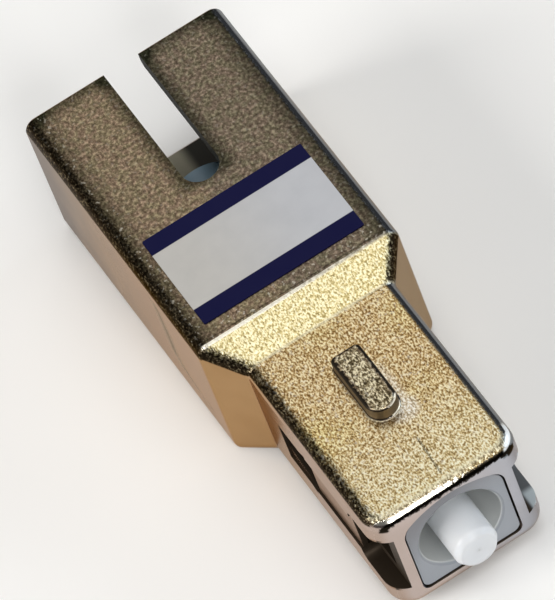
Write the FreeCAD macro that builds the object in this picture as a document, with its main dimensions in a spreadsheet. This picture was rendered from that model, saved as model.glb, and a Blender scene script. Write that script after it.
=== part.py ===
import FreeCAD, Part
import math
import os
import re
import Sketcher

# A plug-in fibre optic attenuator: a plated die-cast housing with a plug at one end and a port at
# the other, and a floating core that carries a spring-loaded ferrule with the attenuating fibre.
# The sketches are drawn about the fibre axis: X = 0 is the port end and +X points to the plug end.
# The whole part is then moved so that its origin is under its middle, on the surface it lies on.

SIZES = [
    # outside of the housing
    ("body_length", 18.9),
    ("body_width", 12.2),
    ("body_height", 9.1),
    ("body_rise", 0.2),
    ("body_edge_radius", 0.72),
    ("shoulder_length", 1.92),
    ("shoulder_edge_radius", 0.43),
    ("shoulder_root_radius", 0.35),
    ("port_end_radius", 0.15),
    ("plug_length", 13.0),
    ("plug_width", 9.0),
    ("plug_height", 7.4),
    ("plug_edge_radius", 0.7),
    ("front_corner_radius", 1.4),
    # key on the plug and keyway in the port
    ("key_setback", 2.8),
    ("key_length", 4.6),
    ("key_width", 1.75),
    ("key_height", 0.85),
    ("key_root", 0.5),
    ("key_corner_radius", 0.3),
    ("key_top_radius", 0.2),
    ("key_base_radius", 0.15),
    ("keyway_length", 9.7),
    ("keyway_clearance", 0.205),
    # inside of the housing
    ("port_clearance", 0.05),
    ("port_lead_in", 0.25),
    ("cavity_depth", 18.4),
    ("channel_width", 6.0),
    ("channel_floor", 2.85),
    ("channel_side", 2.2),
    ("channel_crown", 3.17),
    ("channel_floor_radius", 0.45),
    ("channel_crown_radius", 1.0),
    # latch passages in the sides of the plug
    ("notch_length", 3.4),
    ("notch_height", 4.2),
    ("notch_corner_radius", 0.6),
    ("post_thickness", 0.55),
    ("post_length", 1.3),
    ("tunnel_length", 9.4),
    ("tunnel_height", 2.9),
    ("tunnel_depth", 1.05),
    ("side_recess_depth", 0.15),
    ("window_length", 2.8),
    ("window_tip_height", 1.2),
    ("window_mouth_height", 3.4),
    # printed label
    ("label_setback", 1.2),
    ("label_length", 6.72),
    ("label_width", 9.75),
    ("label_thickness", 0.06),
    ("label_corner_radius", 0.1),
    # floating core
    ("core_travel", 1.8),
    ("core_clearance", 0.1),
    ("stop_gap", 0.05),
    ("plate_thickness", 1.0),
    ("flange_thickness", 1.1),
    ("barb_height", 0.3),
    ("barb_width", 2.0),
    ("frame_recess", 0.1),
    ("frame_bore", 4.8),
    ("frame_bore_depth", 6.5),
    ("frame_bore_chamfer", 0.15),
    ("frame_web", 1.4),
    ("frame_web_bore", 2.8),
    ("seat_depth", 0.5),
    ("chamber_bore", 5.0),
    ("catch_setback", 9.1),
    ("catch_length", 2.6),
    ("catch_flat", 0.8),
    ("catch_height", 0.52),
    ("catch_width", 2.4),
    # latch hooks
    ("hook_thickness", 0.4),
    ("hook_clearance", 0.04),
    ("hook_width", 2.6),
    ("hook_reach", 10.05),
    ("hook_tip_length", 1.35),
    ("hook_tip_lead", 0.7),
    ("hook_tip_gap", 0.02),
    # sleeve and its tube
    ("mating_depth", 12.9),
    ("sleeve_length", 11.3),
    ("sleeve_wall", 0.33),
    ("sleeve_clearance", 0.03),
    ("sleeve_slit", 0.45),
    ("sleeve_play", 0.1),
    ("sleeve_end_play", 0.05),
    ("tube_wall", 0.6),
    ("tube_lip", 0.45),
    ("tube_lip_bore", 2.9),
    ("tube_fit", 0.03),
    # ferrule, collar, spring and fibre
    ("ferrule_diameter", 2.5),
    ("ferrule_reach", 1.7),
    ("ferrule_chamfer_length", 0.35),
    ("ferrule_chamfer_depth", 0.22),
    ("fibre_diameter", 0.125),
    ("collar_diameter", 4.2),
    ("collar_length", 2.3),
    ("collar_gap", 0.05),
    ("spigot_length", 0.8),
    ("spigot_diameter", 3.2),
    ("spring_wire", 0.4),
    ("spring_mean_diameter", 3.9),
    ("spring_turns", 5),
    ("spring_steps", 12),
]

NEAR = 1e-4
BEYOND = 2.0

doc = FreeCAD.newDocument("attenuator")
sheet = doc.addObject("Spreadsheet::Sheet", "Sizes")
for row, (alias, size) in enumerate(SIZES, start=1):
    sheet.set(f"A{row}", alias)
    sheet.set(f"B{row}", str(size))
    sheet.setAlias(f"B{row}", alias)
doc.recompute()

ALIAS = re.compile(r"\b(" + "|".join(alias for alias, _ in SIZES) + r")\b")


def cells(text):
    """The same sum, with each size named as a cell of the sheet."""
    return ALIAS.sub(r"Sizes.\1", str(text))


def number(text):
    """What a sum of sizes comes to, in millimetres."""
    return float(sheet.evalExpression(cells(text)))


# places along the fibre axis, all counted from the port end
PLUG_REAR = "(body_length + shoulder_length)"
PLUG_FRONT = "(body_length + shoulder_length + plug_length)"
FERRULE_TIP = f"({PLUG_FRONT} + ferrule_reach)"
KEY_REAR = f"({PLUG_REAR} + key_setback)"
POST_REAR = f"({PLUG_FRONT} - post_length)"
TUNNEL_REAR = f"({POST_REAR} - tunnel_length)"
NOTCH_REAR = f"({PLUG_FRONT} - notch_length)"
FLANGE_FRONT = "(cavity_depth - core_travel - stop_gap)"
FLANGE_REAR = f"({FLANGE_FRONT} - flange_thickness)"
HALVES_JOINT = f"({FLANGE_REAR} - plate_thickness)"
HOOK_ROOT = f"({HALVES_JOINT} - plate_thickness)"
FRAME_FRONT = f"({PLUG_FRONT} - frame_recess)"
WEB_FRONT = f"({FRAME_FRONT} - frame_bore_depth)"
WEB_REAR = f"({WEB_FRONT} - frame_web)"
CATCH_REAR = f"({FRAME_FRONT} - catch_setback)"
SLEEVE_REAR = "(mating_depth - sleeve_length / 2)"
SLEEVE_FRONT = "(mating_depth + sleeve_length / 2)"
TUBE_REAR = f"({SLEEVE_REAR} - sleeve_end_play - tube_lip)"
TUBE_FRONT = f"({SLEEVE_FRONT} + sleeve_end_play + tube_lip)"
COLLAR_FRONT = f"({WEB_REAR} - collar_gap)"
COLLAR_REAR = f"({COLLAR_FRONT} - collar_length)"

# distances from the fibre axis
PORT_WIDTH = "(plug_width + 2 * port_clearance)"
PORT_HEIGHT = "(plug_height + 2 * port_clearance)"
CORE_WIDTH = f"({PORT_WIDTH} - 2 * core_clearance)"
CORE_HEIGHT = f"({PORT_HEIGHT} - 2 * core_clearance)"
FRAME_WIDTH = "(channel_width - 2 * core_clearance)"
POST_OUTER = "(channel_width / 2 + post_thickness)"
HOOK_INNER = f"({POST_OUTER} + hook_clearance)"
HOOK_OUTER = f"({HOOK_INNER} + hook_thickness)"
HOOK_TIP = "(channel_width / 2 + hook_tip_gap)"
TUNNEL_OUTER = "(channel_width / 2 + tunnel_depth)"
FERRULE_RADIUS = "(ferrule_diameter / 2)"
SLEEVE_BORE = "(ferrule_diameter / 2 + sleeve_clearance)"
SLEEVE_OUTER = f"({SLEEVE_BORE} + sleeve_wall)"
TUBE_BORE = f"({SLEEVE_OUTER} + sleeve_play)"
TUBE_OUTER = f"({TUBE_BORE} + tube_wall)"


def settle(piece):
    """Moves a piece drawn about the fibre axis to its place over the resting surface."""
    piece.setExpression("Placement.Base.x", cells(f"-{FERRULE_TIP} / 2"))
    piece.setExpression("Placement.Base.z", cells("body_height / 2 - body_rise"))


def new_body(label):
    """A piece of the part as a body of its own."""
    body = doc.addObject("PartDesign::Body", label.title().replace("_", ""))
    body.Label = label
    settle(body)
    return body


def new_sketch(body, name, role, offset="0"):
    """A sketch on one of the body's planes, moved along the plane's normal by offset."""
    sketch = body.newObject("Sketcher::SketchObject", name)
    plane = next(item for item in body.Origin.OriginFeatures if item.Role == role)
    sketch.AttachmentSupport = [(plane, "")]
    sketch.MapMode = "FlatFace"
    sketch.setExpression("AttachmentOffset.Base.z", cells(offset))
    return sketch


def bind(sketch, kind, name, ends, text):
    """One driving dimension of a sketch, bound to the sheet."""
    index = sketch.addConstraint(Sketcher.Constraint(kind, *ends, number(text)))
    sketch.renameConstraint(index, name)
    sketch.setExpression(f"Constraints.{name}", cells(text))


def outline(sketch, points, arcs=None):
    """A closed outline through points; arcs gives the centre of each stretch that is an arc."""
    arcs = arcs or {}
    spots = [FreeCAD.Vector(number(x), number(y), 0) for x, y in points]
    count = len(spots)
    for i, start in enumerate(spots):
        end = spots[(i + 1) % count]
        if i not in arcs:
            sketch.addGeometry(Part.LineSegment(start, end), False)
            continue
        centre = FreeCAD.Vector(number(arcs[i][0]), number(arcs[i][1]), 0)
        circle = Part.Circle(centre, FreeCAD.Vector(0, 0, 1), (start - centre).Length)
        angles = [math.atan2(p.y - centre.y, p.x - centre.x) for p in (start, end)]
        sketch.addGeometry(Part.ArcOfCircle(circle, *angles), False)
    for i in range(count):
        sketch.addConstraint(Sketcher.Constraint("Coincident", i, 2, (i + 1) % count, 1))
    for i, (x, y) in enumerate(points):
        bind(sketch, "DistanceX", f"x{i}", (-1, 1, i, 1), x)
        bind(sketch, "DistanceY", f"y{i}", (-1, 1, i, 1), y)
    for i, (x, y) in arcs.items():
        start, end = spots[i], spots[(i + 1) % count]
        flat = abs(start.y - end.y) > abs(start.x - end.x) + NEAR
        bind(sketch, "DistanceX" if flat else "DistanceY", f"c{i}", (-1, 1, i, 3), x if flat else y)
    return sketch


def rectangle(sketch, x0, x1, y0, y1):
    """A rectangle between two corners."""
    return outline(sketch, [(x0, y0), (x1, y0), (x1, y1), (x0, y1)])


def centred(sketch, width, height):
    """A rectangle about the sketch's origin."""
    return rectangle(sketch, f"-{width} / 2", f"{width} / 2", f"-{height} / 2", f"{height} / 2")


def rounded(sketch, width, height, radius, rise="0"):
    """A rectangle with round corners, its middle above the sketch's origin by rise."""
    right, inner = f"{width} / 2", f"({width} / 2 - {radius})"
    top, upper = f"{rise} + {height} / 2", f"({rise} + {height} / 2 - {radius})"
    bottom, lower = f"{rise} - {height} / 2", f"({rise} - {height} / 2 + {radius})"
    points = [
        (f"-{inner}", bottom), (inner, bottom),
        (right, lower), (right, upper),
        (inner, top), (f"-{inner}", top),
        (f"-{right}", upper), (f"-{right}", lower),
    ]
    centres = {
        1: (inner, lower), 3: (inner, upper),
        5: (f"-{inner}", upper), 7: (f"-{inner}", lower),
    }
    return outline(sketch, points, centres)


def arched(sketch, half_width, floor, side, crown):
    """The section of the plug's channel: a flat floor, straight sides and a shallow arch on top."""
    rise = f"({crown} - {side})"
    centre = f"{crown} - ({half_width} * {half_width} + {rise} * {rise}) / (2 * {rise})"
    points = [
        (f"-{half_width}", f"-{floor}"), (half_width, f"-{floor}"),
        (half_width, side), (f"-{half_width}", side),
    ]
    return outline(sketch, points, {2: ("0", centre)})


def circle(sketch, diameter):
    """A circle about the sketch's origin."""
    sketch.addGeometry(Part.Circle(FreeCAD.Vector(), FreeCAD.Vector(0, 0, 1), number(diameter) / 2), False)
    sketch.addConstraint(Sketcher.Constraint("Coincident", 0, 3, -1, 1))
    bind(sketch, "Diameter", "across", (0,), diameter)
    return sketch


def extrude(body, kind, name, sketch, length=None, both=False, reverse=False):
    """A pad or a pocket; with no length it runs through everything."""
    feature = body.newObject(f"PartDesign::{kind}", name)
    feature.Profile = sketch
    feature.Reversed = reverse
    if both:
        feature.SideType = "Symmetric"
    if length is None:
        feature.Type = "ThroughAll"
    else:
        feature.setExpression("Length", cells(length))
    doc.recompute()
    return feature


def turn(body, kind, name, points):
    """A body of revolution or a groove from a profile of (place along the axis, radius)."""
    sketch = outline(new_sketch(body, f"{name}Profile", "XZ_Plane"), points)
    feature = body.newObject(f"PartDesign::{kind}", name)
    feature.Profile = sketch
    feature.ReferenceAxis = (sketch, ["H_Axis"])
    feature.Angle = 360
    doc.recompute()
    return feature


def edge_finish(body, kind, name, radius, wanted):
    """A fillet or chamfer on the edges of the body so far whose boxes wanted accepts."""
    base = body.Tip
    names = [f"Edge{i}" for i, edge in enumerate(base.Shape.Edges, start=1) if wanted(edge.BoundBox)]
    feature = body.newObject(f"PartDesign::{kind}", name)
    feature.Base = (base, names)
    feature.setExpression("Radius" if kind == "Fillet" else "Size", cells(radius))
    doc.recompute()
    return feature


def close(a, b):
    return abs(a - b) < NEAR


def at_x(text):
    """Edges that lie in one plane across the fibre axis."""
    x = number(text)
    return lambda box: close(box.XMin, x) and close(box.XMax, x)


def along_x(box):
    return box.XLength > NEAR and box.YLength < NEAR and box.ZLength < NEAR


def make_housing():
    body = new_body("housing")

    # plug: round front corners in plan, and one rounding all along the edges of its top and bottom
    inner, front = "plug_width / 2", f"({PLUG_FRONT} - front_corner_radius)"
    corner = "(plug_width / 2 - front_corner_radius)"
    plan = outline(
        new_sketch(body, "PlugPlan", "XY_Plane"),
        [
            (PLUG_REAR, f"-{inner}"), (front, f"-{inner}"), (PLUG_FRONT, f"-{corner}"),
            (PLUG_FRONT, corner), (front, inner), (PLUG_REAR, inner),
        ],
        {1: (front, f"-{corner}"), 3: (front, corner)},
    )
    extrude(body, "Pad", "Plug", plan, "plug_height", both=True)
    rear, half = number(PLUG_REAR), number("plug_height / 2")
    edge_finish(
        body, "Fillet", "PlugEdges", "plug_edge_radius",
        lambda box: close(abs(box.ZMin), half) and box.ZLength < NEAR and box.XMax > rear + NEAR,
    )

    # shoulder: a four-sided taper from the body's section down to the plug's
    small = rounded(new_sketch(body, "ShoulderFront", "YZ_Plane", PLUG_REAR),
                    "plug_width", "plug_height", "plug_edge_radius")
    large = rounded(new_sketch(body, "ShoulderRear", "YZ_Plane", "body_length"),
                    "body_width", "body_height", "body_edge_radius", "body_rise")
    shoulder = body.newObject("PartDesign::AdditiveLoft", "Shoulder")
    shoulder.Profile = small
    shoulder.Sections = [large]
    shoulder.Ruled = True
    doc.recompute()

    section = rounded(new_sketch(body, "BodySection", "YZ_Plane"),
                      "body_width", "body_height", "body_edge_radius", "body_rise")
    extrude(body, "Pad", "Block", section, "body_length")
    edge_finish(body, "Fillet", "ShoulderEdge", "shoulder_edge_radius", at_x("body_length"))
    edge_finish(body, "Fillet", "ShoulderRoot", "shoulder_root_radius", at_x(PLUG_REAR))
    edge_finish(body, "Fillet", "PortEnd", "port_end_radius", at_x("0"))

    # key: square at the rear and round at the front
    key_front = f"({KEY_REAR} + key_length - key_width / 2)"
    key = outline(
        new_sketch(body, "KeyPlan", "XY_Plane", "plug_height / 2 - key_root"),
        [
            (KEY_REAR, "-key_width / 2"), (key_front, "-key_width / 2"),
            (key_front, "key_width / 2"), (KEY_REAR, "key_width / 2"),
        ],
        {1: (key_front, "0")},
    )
    extrude(body, "Pad", "Key", key, "key_root + key_height")
    key_x, deck = number(KEY_REAR), number("plug_height / 2")
    top = number("plug_height / 2 + key_height")
    edge_finish(
        body, "Fillet", "KeyCorners", "key_corner_radius",
        lambda box: close(box.XMin, key_x) and close(box.XMax, key_x) and close(box.ZMax, top)
        and box.ZLength > NEAR,
    )
    edge_finish(
        body, "Fillet", "KeyTop", "key_top_radius",
        lambda box: close(box.ZMin, top) and close(box.ZMax, top),
    )
    reach, half_key = number(f"{KEY_REAR} + key_length"), number("key_width / 2")
    edge_finish(
        body, "Fillet", "KeyBase", "key_base_radius",
        lambda box: close(box.ZMin, deck) and close(box.ZMax, deck)
        and box.XMin > key_x - NEAR and box.XMax < reach + NEAR and abs(box.YMin) < half_key + NEAR,
    )

    # port, with a lead-in round its mouth and a keyway in its top wall
    port = centred(new_sketch(body, "PortSection", "YZ_Plane"), PORT_WIDTH, PORT_HEIGHT)
    extrude(body, "Pocket", "Port", port, "cavity_depth", reverse=True)
    wide = number(f"{PORT_WIDTH} / 2")
    edge_finish(
        body, "Chamfer", "PortLeadIn", "port_lead_in",
        lambda box: close(box.XMax, 0) and box.YMax < wide + NEAR and box.YMin > -wide - NEAR
        and box.ZMax < number(f"{PORT_HEIGHT} / 2") + NEAR
        and box.ZMin > -number(f"{PORT_HEIGHT} / 2") - NEAR,
    )
    way = "(key_width / 2 + keyway_clearance)"
    way_end = f"(keyway_length - {way})"
    keyway = outline(
        new_sketch(body, "KeywayPlan", "XY_Plane"),
        [(f"-{BEYOND}", f"-{way}"), (way_end, f"-{way}"), (way_end, way), (f"-{BEYOND}", way)],
        {1: (way_end, "0")},
    )
    extrude(body, "Pocket", "Keyway", keyway, reverse=True)

    # channel for the plug frame, from the port's end wall to the plug's front
    channel = arched(new_sketch(body, "ChannelSection", "YZ_Plane", "cavity_depth"),
                     "(channel_width / 2)", "channel_floor", "channel_side", "channel_crown")
    extrude(body, "Pocket", "Channel", channel, reverse=True)
    side, low, high = (number(text) for text in ("channel_width / 2", "-channel_floor", "channel_side"))
    edge_finish(
        body, "Fillet", "ChannelFloorCorners", "channel_floor_radius",
        lambda box: along_x(box) and close(abs(box.YMin), side) and close(box.ZMin, low),
    )
    edge_finish(
        body, "Fillet", "ChannelCrownCorners", "channel_crown_radius",
        lambda box: along_x(box) and close(abs(box.YMin), side) and close(box.ZMin, high),
    )

    # latch passages: a notch at each front corner, a tunnel behind its post and a wedge window
    corner = "notch_corner_radius"
    past = f"({PLUG_FRONT} + {BEYOND})"
    tall = "notch_height / 2"
    for name, offset, reverse in (("Right", f"-{POST_OUTER}", False), ("Left", POST_OUTER, True)):
        notch = outline(
            new_sketch(body, f"{name}NotchSide", "XZ_Plane", offset),
            [
                (f"{NOTCH_REAR} + {corner}", f"-{tall}"), (past, f"-{tall}"),
                (past, tall), (f"{NOTCH_REAR} + {corner}", tall),
                (NOTCH_REAR, f"{tall} - {corner}"), (NOTCH_REAR, f"-({tall} - {corner})"),
            ],
            {3: (f"{NOTCH_REAR} + {corner}", f"{tall} - {corner}"),
             5: (f"{NOTCH_REAR} + {corner}", f"-({tall} - {corner})")},
        )
        extrude(body, "Pocket", f"{name}Notch", notch, reverse=reverse)
        recess = rectangle(
            new_sketch(body, f"{name}RecessSide", "XZ_Plane",
                       f"{'-' if name == 'Right' else ''}(plug_width / 2 - side_recess_depth)"),
            TUNNEL_REAR, f"({NOTCH_REAR} + {corner})", "-tunnel_height / 2", "tunnel_height / 2",
        )
        extrude(body, "Pocket", f"{name}Recess", recess, reverse=reverse)
    tunnel = rectangle(new_sketch(body, "TunnelSide", "XZ_Plane"),
                       TUNNEL_REAR, POST_REAR, "-tunnel_height / 2", "tunnel_height / 2")
    extrude(body, "Pocket", "Tunnel", tunnel, f"2 * {TUNNEL_OUTER}", both=True)
    window = outline(
        new_sketch(body, "WindowSide", "XZ_Plane"),
        [
            (TUNNEL_REAR, "-window_tip_height / 2"),
            (f"{TUNNEL_REAR} + window_length", "-window_mouth_height / 2"),
            (f"{TUNNEL_REAR} + window_length", "window_mouth_height / 2"),
            (TUNNEL_REAR, "window_tip_height / 2"),
        ],
    )
    extrude(body, "Pocket", "Window", window, both=True)

    # recesses in the port's side walls, where the core's barbs stop it from sliding out
    stops = rectangle(
        new_sketch(body, "StopSide", "XZ_Plane"), f"{FLANGE_REAR} - stop_gap", "cavity_depth",
        "-(barb_width / 2 + core_clearance)", "barb_width / 2 + core_clearance",
    )
    extrude(body, "Pocket", "Stops", stops,
            f"{CORE_WIDTH} + 2 * barb_height + 2 * core_clearance", both=True)
    return body


def make_label():
    body = new_body("label")
    sketch = rectangle(
        new_sketch(body, "Film", "XY_Plane", "body_height / 2 + body_rise"),
        "body_length - label_setback - label_length", "body_length - label_setback",
        "-label_width / 2", "label_width / 2",
    )
    extrude(body, "Pad", "Sheet", sketch, "label_thickness")
    edge_finish(body, "Fillet", "Corners", "label_corner_radius",
                lambda box: box.ZLength > NEAR and box.XLength < NEAR)
    return body


def make_plug_frame():
    body = new_body("plug_frame")
    section = arched(
        new_sketch(body, "FrameSection", "YZ_Plane", FLANGE_REAR), f"({FRAME_WIDTH} / 2)",
        "(channel_floor - core_clearance)", "(channel_side - core_clearance)",
        "(channel_crown - core_clearance)",
    )
    extrude(body, "Pad", "Frame", section, f"{FRAME_FRONT} - {FLANGE_REAR}")
    side = number(f"{FRAME_WIDTH} / 2")
    low, high = number("core_clearance - channel_floor"), number("channel_side - core_clearance")
    edge_finish(
        body, "Fillet", "FloorCorners", "channel_floor_radius",
        lambda box: along_x(box) and close(abs(box.YMin), side) and close(box.ZMin, low),
    )
    edge_finish(
        body, "Fillet", "CrownCorners", "channel_crown_radius",
        lambda box: along_x(box) and close(abs(box.YMin), side) and close(box.ZMin, high),
    )
    flange = centred(new_sketch(body, "FlangeSection", "YZ_Plane", FLANGE_REAR), CORE_WIDTH, CORE_HEIGHT)
    extrude(body, "Pad", "Flange", flange, "flange_thickness")
    barbs = centred(new_sketch(body, "BarbSection", "YZ_Plane", FLANGE_REAR),
                    f"({CORE_WIDTH} + 2 * barb_height)", "barb_width")
    extrude(body, "Pad", "Barbs", barbs, "flange_thickness")

    # catches that the mating latch hooks snap behind: square at the rear, a ramp at the front
    inner, outer = f"({FRAME_WIDTH} / 2 - core_clearance)", f"({FRAME_WIDTH} / 2 + catch_height)"
    for name, sign in (("Right", ""), ("Left", "-")):
        points = [
            (CATCH_REAR, f"{sign}{inner}"), (f"{CATCH_REAR} + catch_length", f"{sign}{inner}"),
            (f"{CATCH_REAR} + catch_flat", f"{sign}{outer}"), (CATCH_REAR, f"{sign}{outer}"),
        ]
        catch = outline(new_sketch(body, f"{name}CatchPlan", "XY_Plane"), points)
        extrude(body, "Pad", f"{name}Catch", catch, "catch_width", both=True)

    # stepped bore: spring chamber, seat for the collar, web, and the wide mouth round the ferrule
    turn(body, "Groove", "Bore", [
        (FLANGE_REAR, "0"), (FRAME_FRONT, "0"),
        (FRAME_FRONT, "frame_bore / 2 + frame_bore_chamfer"),
        (f"{FRAME_FRONT} - frame_bore_chamfer", "frame_bore / 2"),
        (WEB_FRONT, "frame_bore / 2"), (WEB_FRONT, "frame_web_bore / 2"),
        (WEB_REAR, "frame_web_bore / 2"), (WEB_REAR, "chamber_bore / 2 - seat_depth"),
        (f"{WEB_REAR} - seat_depth", "chamber_bore / 2"), (FLANGE_REAR, "chamber_bore / 2"),
    ])
    return body


def make_hook_holder():
    body = new_body("hook_holder")
    plate = centred(new_sketch(body, "PlateSection", "YZ_Plane", HOOK_ROOT), CORE_WIDTH, CORE_HEIGHT)
    extrude(body, "Pad", "Plate", plate, "plate_thickness")
    tube = circle(new_sketch(body, "TubeSection", "YZ_Plane", TUBE_REAR), f"2 * {TUBE_OUTER}")
    extrude(body, "Pad", "Tube", tube, f"{HOOK_ROOT} - {TUBE_REAR}")

    # two latch hooks: a springy arm, an inward tip with a sloped lead-in and a square latching face
    tip = f"({HOOK_ROOT} - hook_reach)"
    nose = f"({tip} + hook_tip_lead)"
    face = f"({tip} + hook_tip_length)"
    for name, sign in (("Right", ""), ("Left", "-")):
        points = [
            (f"{HOOK_ROOT} + plate_thickness / 2", f"{sign}{HOOK_INNER}"),
            (f"{HOOK_ROOT} + plate_thickness / 2", f"{sign}{HOOK_OUTER}"),
            (tip, f"{sign}{HOOK_OUTER}"), (tip, f"{sign}({HOOK_INNER} + hook_thickness / 4)"),
            (nose, f"{sign}{HOOK_TIP}"), (face, f"{sign}{HOOK_TIP}"), (face, f"{sign}{HOOK_INNER}"),
        ]
        hook = outline(new_sketch(body, f"{name}HookPlan", "XY_Plane"), points)
        extrude(body, "Pad", f"{name}Hook", hook, "hook_width", both=True)

    turn(body, "Groove", "SleevePocket", [
        (TUBE_REAR, "0"), (HALVES_JOINT, "0"), (HALVES_JOINT, TUBE_BORE),
        (f"{TUBE_REAR} + tube_lip", TUBE_BORE), (f"{TUBE_REAR} + tube_lip", "tube_lip_bore / 2"),
        (TUBE_REAR, "tube_lip_bore / 2"),
    ])
    return body


def make_sleeve_housing():
    body = new_body("sleeve_housing")
    plate = centred(new_sketch(body, "PlateSection", "YZ_Plane", HALVES_JOINT), CORE_WIDTH, CORE_HEIGHT)
    extrude(body, "Pad", "Plate", plate, "plate_thickness")
    tube = circle(new_sketch(body, "TubeSection", "YZ_Plane", FLANGE_REAR), "chamber_bore - 2 * tube_fit")
    extrude(body, "Pad", "Tube", tube, f"{TUBE_FRONT} - {FLANGE_REAR}")
    turn(body, "Groove", "SleevePocket", [
        (HALVES_JOINT, "0"), (TUBE_FRONT, "0"), (TUBE_FRONT, "tube_lip_bore / 2"),
        (f"{TUBE_FRONT} - tube_lip", "tube_lip_bore / 2"), (f"{TUBE_FRONT} - tube_lip", TUBE_BORE),
        (HALVES_JOINT, TUBE_BORE),
    ])
    return body


def make_split_sleeve():
    body = new_body("split_sleeve")
    turn(body, "Revolution", "Tube", [
        (SLEEVE_REAR, SLEEVE_BORE), (SLEEVE_FRONT, SLEEVE_BORE),
        (SLEEVE_FRONT, SLEEVE_OUTER), (SLEEVE_REAR, SLEEVE_OUTER),
    ])
    slit = rectangle(
        new_sketch(body, "SlitPlan", "XY_Plane"), f"{SLEEVE_REAR} - {BEYOND}", f"{SLEEVE_FRONT} + {BEYOND}",
        "-sleeve_slit / 2", "sleeve_slit / 2",
    )
    extrude(body, "Pocket", "Slit", slit, reverse=True)
    return body


def make_ferrule():
    body = new_body("ferrule")
    turn(body, "Revolution", "Stub", [
        ("mating_depth", "fibre_diameter / 2"), (FERRULE_TIP, "fibre_diameter / 2"),
        (FERRULE_TIP, f"{FERRULE_RADIUS} - ferrule_chamfer_depth"),
        (f"{FERRULE_TIP} - ferrule_chamfer_length", FERRULE_RADIUS),
        ("mating_depth + ferrule_chamfer_length", FERRULE_RADIUS),
        ("mating_depth", f"{FERRULE_RADIUS} - ferrule_chamfer_depth"),
    ])
    return body


def make_attenuating_fibre():
    body = new_body("attenuating_fibre")
    core = circle(new_sketch(body, "FibreSection", "YZ_Plane", "mating_depth"), "fibre_diameter")
    extrude(body, "Pad", "Fibre", core, f"{FERRULE_TIP} - mating_depth")
    return body


def make_ferrule_collar():
    body = new_body("ferrule_collar")
    turn(body, "Revolution", "Collar", [
        (f"{COLLAR_REAR} - spigot_length", FERRULE_RADIUS), (COLLAR_FRONT, FERRULE_RADIUS),
        (COLLAR_FRONT, "collar_diameter / 2 - seat_depth"),
        (f"{COLLAR_FRONT} - seat_depth", "collar_diameter / 2"), (COLLAR_REAR, "collar_diameter / 2"),
        (COLLAR_REAR, "spigot_diameter / 2"), (f"{COLLAR_REAR} - spigot_length", "spigot_diameter / 2"),
    ])
    return body


def make_spring():
    """A coil of eight-sided wire, both ends ground flat against the sleeve housing and the collar."""
    rear, front = number(TUBE_FRONT), number(COLLAR_REAR)
    radius, wire = number("spring_mean_diameter / 2"), number("spring_wire")
    steps = round(number("spring_turns * spring_steps"))
    path = []
    for i in range(steps + 1):
        angle = 2 * math.pi * i / number("spring_steps")
        along = rear + (front - rear) * i / steps
        path.append(FreeCAD.Vector(along, radius * math.cos(angle), radius * math.sin(angle)))
    ring = Part.Circle(path[0], path[1] - path[0], wire / 2).toShape().discretize(9)
    coil = Part.makePolygon(path).makePipeShell([Part.makePolygon(ring)], True, False, 1)
    room = Part.makeCylinder(radius + wire, front - rear, FreeCAD.Vector(rear, 0, 0), FreeCAD.Vector(1, 0, 0))
    spring = doc.addObject("Part::Feature", "Spring")
    spring.Label = "spring"
    spring.Shape = coil.common(room).Solids[0]
    settle(spring)
    return spring


pieces = [
    make_housing(),
    make_label(),
    make_plug_frame(),
    make_hook_holder(),
    make_sleeve_housing(),
    make_split_sleeve(),
    make_ferrule(),
    make_attenuating_fibre(),
    make_ferrule_collar(),
    make_spring(),
]
doc.recompute()

for item in doc.Objects:
    if "Invalid" in item.State or "Error" in item.State:
        raise RuntimeError(f"{item.Label} failed: {item.State}")
os.makedirs("parts", exist_ok=True)
for piece in pieces:
    shape = piece.Shape
    if shape.isNull() or not shape.isValid() or len(shape.Solids) != 1:
        raise RuntimeError(f"{piece.Label} is not one valid solid")
    shape.exportStep(f"parts/{piece.Label}.step")
    print(f"{piece.Label}: {shape.Volume:.3f} cubic mm")
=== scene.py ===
import math

import bpy
import numpy as np
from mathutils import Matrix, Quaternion, Vector


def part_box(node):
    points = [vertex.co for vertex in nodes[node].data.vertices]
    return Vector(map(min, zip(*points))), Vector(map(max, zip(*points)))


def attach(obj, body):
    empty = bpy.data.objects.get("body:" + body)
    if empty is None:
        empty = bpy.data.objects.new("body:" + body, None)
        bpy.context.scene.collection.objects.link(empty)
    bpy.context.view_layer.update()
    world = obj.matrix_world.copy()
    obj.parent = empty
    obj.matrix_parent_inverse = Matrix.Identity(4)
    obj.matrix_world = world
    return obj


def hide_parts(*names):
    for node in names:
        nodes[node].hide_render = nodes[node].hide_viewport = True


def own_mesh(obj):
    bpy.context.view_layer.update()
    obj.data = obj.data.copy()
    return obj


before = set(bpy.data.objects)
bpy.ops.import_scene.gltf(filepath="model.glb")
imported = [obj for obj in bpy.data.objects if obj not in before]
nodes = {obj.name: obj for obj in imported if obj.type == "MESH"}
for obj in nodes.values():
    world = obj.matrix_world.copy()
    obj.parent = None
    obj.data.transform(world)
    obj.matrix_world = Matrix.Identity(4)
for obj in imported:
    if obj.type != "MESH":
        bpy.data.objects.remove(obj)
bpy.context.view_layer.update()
mm = 0.001
print("frame loaded:", ", ".join(sorted(nodes)))


def tint(red, green, blue):  # a colour as given on screen, 0 to 255, turned into the shader's own scale
    screen = [channel / 255 for channel in (red, green, blue)]
    return [c / 12.92 if c < 0.04045 else ((c + 0.055) / 1.055) ** 2.4 for c in screen] + [1.0]


white = tint(255, 255, 255)


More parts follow.
